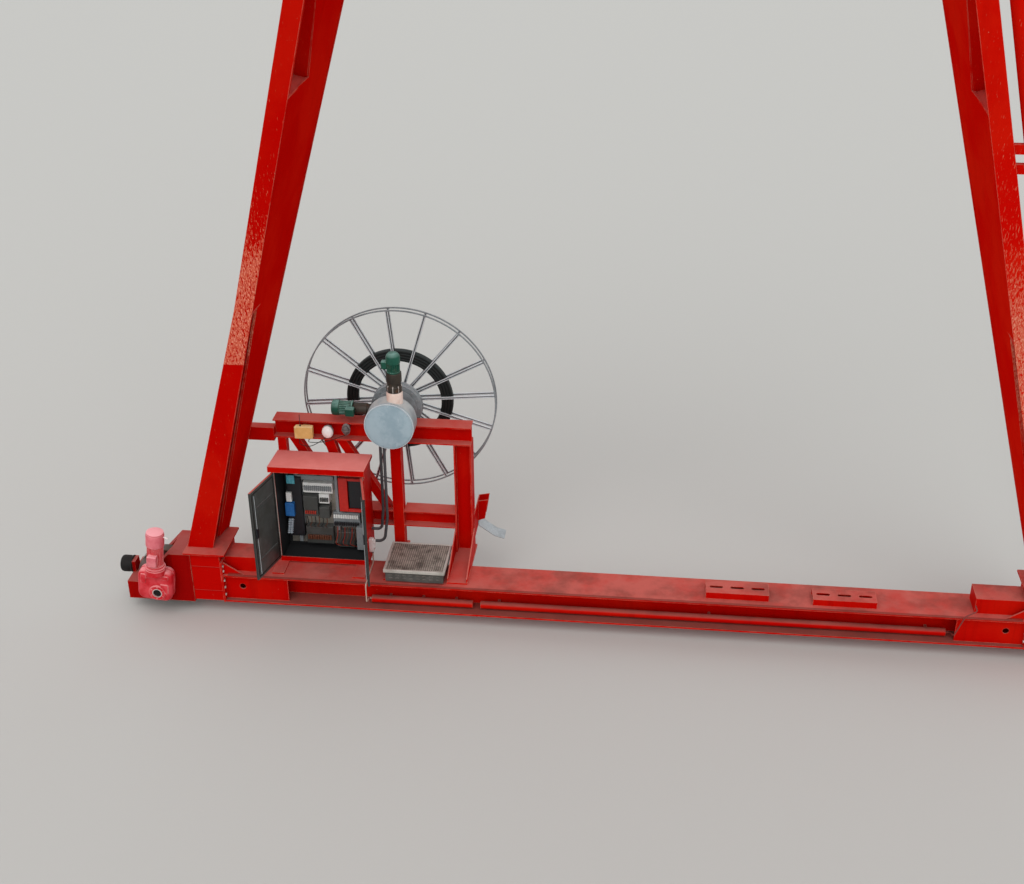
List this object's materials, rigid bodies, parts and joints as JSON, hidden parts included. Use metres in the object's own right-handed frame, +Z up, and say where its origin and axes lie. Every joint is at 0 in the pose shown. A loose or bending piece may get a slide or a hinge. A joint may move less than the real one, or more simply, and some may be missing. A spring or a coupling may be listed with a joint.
{
  "type": "gantry crane",
  "caption": "Double-girder gantry crane on rails with a spoked cable reel and an open control cabinet on one sill beam.",
  "frame": {"origin": "middle of the footprint, at the level of the rail tops under the wheels", "axes": "+Y along the girders, across the span; +X along the rails; +Z up"},
  "size_m": [11.46, 24.7, 13.7998],
  "materials": {
    "beige_plastic": "matt, dusty",
    "black_cable": "satin",
    "black_rubber": "matt",
    "cabinet_grey": "satin grey paint",
    "cabinet_red": "satin red paint",
    "dark_grey_paint": "satin dark grey paint",
    "dark_grey_plastic": "satin",
    "drum_blue_grey": "satin light blue-grey paint",
    "galvanised_steel": "dull zinc coat",
    "gearbox_paint": "worn red-grey paint",
    "motor_green": "semi-gloss green paint",
    "painted_red_steel": "glossy weathered red paint",
    "pale_plastic": "satin",
    "rail_steel": "rolled steel with bright running surface",
    "wire_rope": "greased wire rope",
    "yellow_paint": "semi-gloss yellow paint"
  },
  "bodies": {
    "crane": {"beam_junction_box": "beige_plastic", "beam_lamps": "pale_plastic", "brake_resistor_box": "galvanised_steel", "cabinet_body": "cabinet_red", "cabinet_components": "dark_grey_plastic", "cabinet_mounting_plate": "galvanised_steel", "cabinet_roof": "cabinet_red", "cable_chute": "galvanised_steel", "cable_guide": "painted_red_steel", "conduit_leads": "pale_plastic", "conduit_pipes": "painted_red_steel", "free_side_legs": "painted_red_steel", "free_side_sill_beam": "painted_red_steel", "girder_end_ties": "painted_red_steel", "girder_walkway": "galvanised_steel", "girders": "painted_red_steel", "hoist_ropes": "wire_rope", "hoist_winch": "dark_grey_paint", "hook_block": "yellow_paint", "leg_head_beams": "painted_red_steel", "leg_pedestals": "painted_red_steel", "leg_side_pipe": "painted_red_steel", "reel_frame_braces": "painted_red_steel", "reel_frame_feet": "painted_red_steel", "reel_frame_leg_tie": "painted_red_steel", "reel_frame_lower_beams": "painted_red_steel", "reel_frame_posts": "painted_red_steel", "reel_frame_top_beam": "painted_red_steel", "reel_gearbox": "dark_grey_paint", "reel_saddle": "painted_red_steel", "reel_side_left_leg": "painted_red_steel", "reel_side_motor": "motor_green", "reel_side_right_leg": "painted_red_steel", "reel_side_sill_beam": "painted_red_steel", "reel_slip_ring_housing": "drum_blue_grey", "reel_top_motor": "motor_green", "rubber_buffers": "black_rubber", "saddle_plates": "painted_red_steel", "sill_stop_blocks": "painted_red_steel", "slip_ring_hoses": "black_cable", "slotted_brackets": "painted_red_steel", "travel_gear_housings": "gearbox_paint", "travel_motors": "motor_green", "travel_wheels": "rail_steel", "trolley_cross_beams": "painted_red_steel", "trolley_end_carriages": "painted_red_steel", "trolley_rails": "rail_steel", "trolley_wheels": "rail_steel", "walkway_handrail": "yellow_paint", "wheel_boxes": "painted_red_steel"},
    "cable_reel": {"reel_cable_pack": "black_cable", "reel_front_flange": "galvanised_steel", "reel_hub": "dark_grey_paint", "reel_rear_flange": "galvanised_steel"},
    "left_door": {"cabinet_left_door": "cabinet_grey"},
    "right_door": {"cabinet_right_door": "cabinet_grey"}
  },
  "joints": [
    {"name": "reel_spin", "type": "hinge", "parent": "crane", "child": "cable_reel", "pos_m": [-2.54, 11.95, 2.265], "axis": [0, 1, 0], "continuous": true},
    {"name": "left_door_hinge", "type": "hinge", "parent": "crane", "child": "left_door", "pos_m": [-3.86, 11.066, 1.2], "axis": [0, 0, 1], "range_deg": [-15, 105]},
    {"name": "right_door_hinge", "type": "hinge", "parent": "crane", "child": "right_door", "pos_m": [-2.83, 11.066, 1.2], "axis": [0, 0, 1], "range_deg": [-105, 15]}
  ]
}
